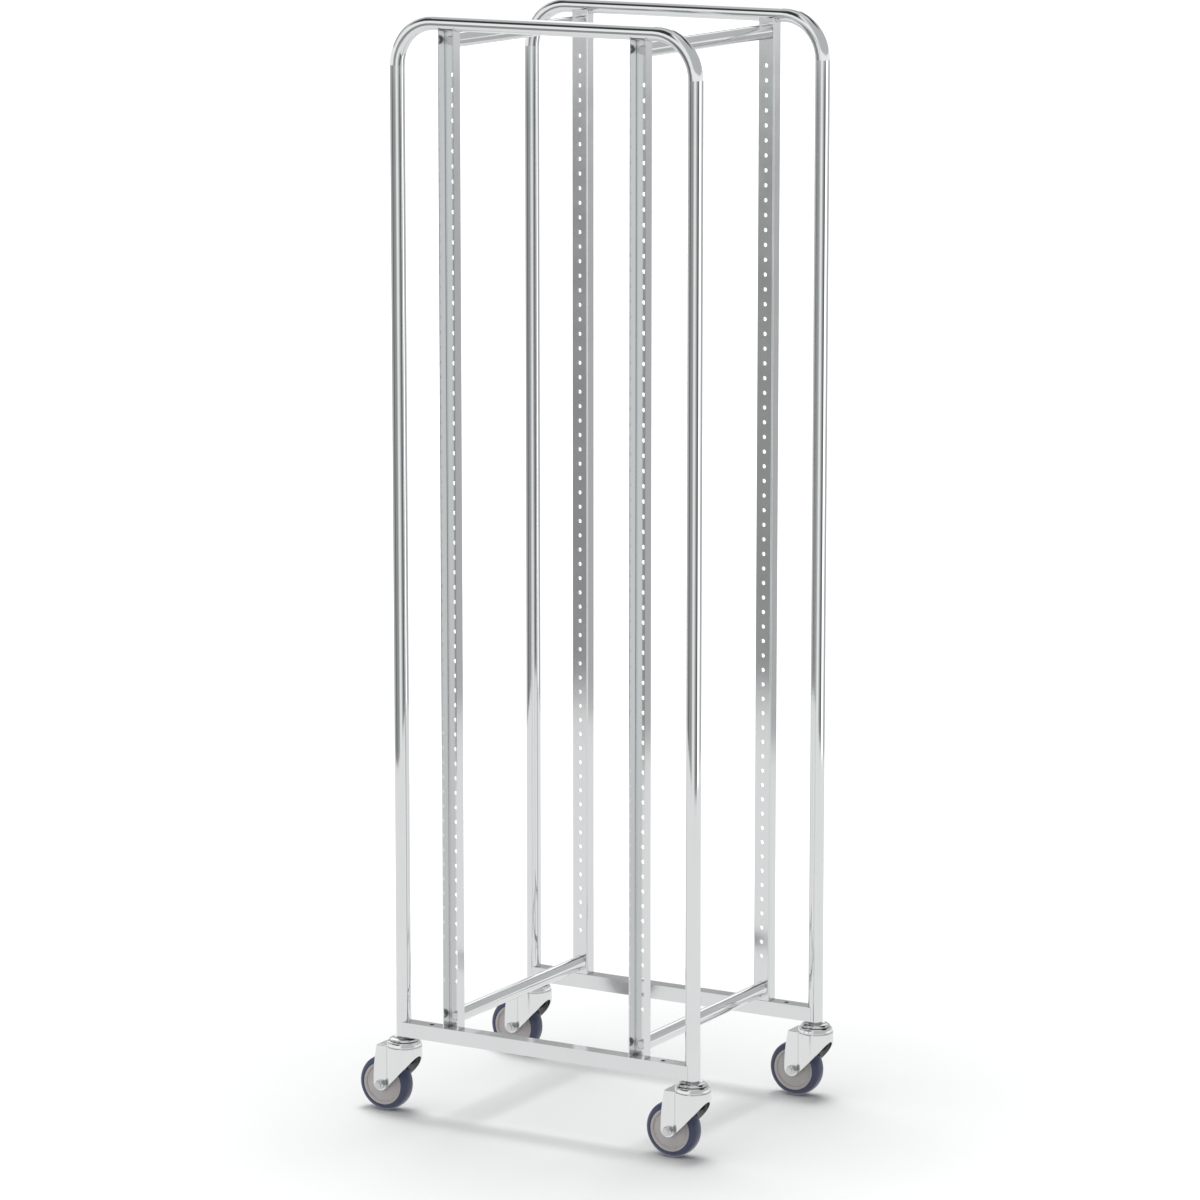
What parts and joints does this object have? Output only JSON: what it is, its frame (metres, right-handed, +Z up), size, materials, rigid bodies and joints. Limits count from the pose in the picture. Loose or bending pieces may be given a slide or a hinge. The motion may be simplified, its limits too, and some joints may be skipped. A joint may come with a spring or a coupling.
{
  "type": "garment rail",
  "caption": "Wheeled rack of bright zinc tube: inverted-U end frames with perforated channel uprights, joined by round tie tubes, standing on swivel casters.",
  "frame": {"origin": "bottom centre of the object's box, on the floor, with the casters trailing towards -X", "axes": "+X across an end frame from left to right, +Y from the near end frame to the far one, +Z up"},
  "size_m": [0.6735, 0.492, 1.86],
  "materials": {
    "bright_tube": "bright zinc plating, polished, with fine drawn lines along the tube",
    "zinc_sheet": "satin zinc plating with fine grain",
    "zinc_fork": "bright zinc plating on pressed sheet",
    "bright_race": "bright zinc plating on a turned ring",
    "fastener_steel": "zinc-plated steel",
    "ball_steel": "polished steel",
    "core_plastic": "warm light grey moulded plastic",
    "bush_plastic": "natural white plastic",
    "tyre_rubber": "slate blue-grey soft tread, slight sheen"
  },
  "bodies": {
    "frame": {"near_end_tube": "bright_tube", "near_bottom_rail": "zinc_sheet", "near_left_upright": "zinc_sheet", "near_right_upright": "zinc_sheet", "far_end_tube": "bright_tube", "far_bottom_rail": "zinc_sheet", "far_left_upright": "zinc_sheet", "far_right_upright": "zinc_sheet", "upper_left_tie_tube": "bright_tube", "lower_left_tie_tube": "bright_tube", "upper_right_tie_tube": "bright_tube", "lower_right_tie_tube": "bright_tube", "tie_tube_plugs": "fastener_steel", "tie_washers": "fastener_steel", "tie_bolts": "fastener_steel", "caster_inserts": "fastener_steel", "caster_kingpins": "fastener_steel", "caster_kingpin_nuts": "fastener_steel", "caster_upper_races": "bright_race"},
    "near_left_swivel": {"near_left_fork": "zinc_fork", "near_left_lower_race": "bright_race", "near_left_ball_ring": "ball_steel", "near_left_axle_bolt": "fastener_steel", "near_left_axle_nut": "fastener_steel", "near_left_axle_sleeve": "fastener_steel"},
    "near_left_wheel": {"near_left_wheel_core": "core_plastic", "near_left_wheel_bush": "bush_plastic", "near_left_tyre": "tyre_rubber"},
    "near_right_swivel": {"near_right_fork": "zinc_fork", "near_right_lower_race": "bright_race", "near_right_ball_ring": "ball_steel", "near_right_axle_bolt": "fastener_steel", "near_right_axle_nut": "fastener_steel", "near_right_axle_sleeve": "fastener_steel"},
    "near_right_wheel": {"near_right_wheel_core": "core_plastic", "near_right_wheel_bush": "bush_plastic", "near_right_tyre": "tyre_rubber"},
    "far_left_swivel": {"far_left_fork": "zinc_fork", "far_left_lower_race": "bright_race", "far_left_ball_ring": "ball_steel", "far_left_axle_bolt": "fastener_steel", "far_left_axle_nut": "fastener_steel", "far_left_axle_sleeve": "fastener_steel"},
    "far_left_wheel": {"far_left_wheel_core": "core_plastic", "far_left_wheel_bush": "bush_plastic", "far_left_tyre": "tyre_rubber"},
    "far_right_swivel": {"far_right_fork": "zinc_fork", "far_right_lower_race": "bright_race", "far_right_ball_ring": "ball_steel", "far_right_axle_bolt": "fastener_steel", "far_right_axle_nut": "fastener_steel", "far_right_axle_sleeve": "fastener_steel"},
    "far_right_wheel": {"far_right_wheel_core": "core_plastic", "far_right_wheel_bush": "bush_plastic", "far_right_tyre": "tyre_rubber"}
  },
  "joints": [
    {"name": "near_left_caster_swivel", "type": "hinge", "parent": "frame", "child": "near_left_swivel", "pos_m": [-0.25425, -0.215, 0.1167], "axis": [0, 0, 1], "continuous": true},
    {"name": "near_left_wheel_spin", "type": "hinge", "parent": "near_left_swivel", "child": "near_left_wheel", "pos_m": [-0.28925, -0.215, 0.0475], "axis": [0, 1, 0], "continuous": true},
    {"name": "near_right_caster_swivel", "type": "hinge", "parent": "frame", "child": "near_right_swivel", "pos_m": [0.30575, -0.215, 0.1167], "axis": [0, 0, 1], "continuous": true},
    {"name": "near_right_wheel_spin", "type": "hinge", "parent": "near_right_swivel", "child": "near_right_wheel", "pos_m": [0.27075, -0.215, 0.0475], "axis": [0, 1, 0], "continuous": true},
    {"name": "far_left_caster_swivel", "type": "hinge", "parent": "frame", "child": "far_left_swivel", "pos_m": [-0.25425, 0.215, 0.1167], "axis": [0, 0, 1], "continuous": true},
    {"name": "far_left_wheel_spin", "type": "hinge", "parent": "far_left_swivel", "child": "far_left_wheel", "pos_m": [-0.28925, 0.215, 0.0475], "axis": [0, 1, 0], "continuous": true},
    {"name": "far_right_caster_swivel", "type": "hinge", "parent": "frame", "child": "far_right_swivel", "pos_m": [0.30575, 0.215, 0.1167], "axis": [0, 0, 1], "continuous": true},
    {"name": "far_right_wheel_spin", "type": "hinge", "parent": "far_right_swivel", "child": "far_right_wheel", "pos_m": [0.27075, 0.215, 0.0475], "axis": [0, 1, 0], "continuous": true}
  ]
}
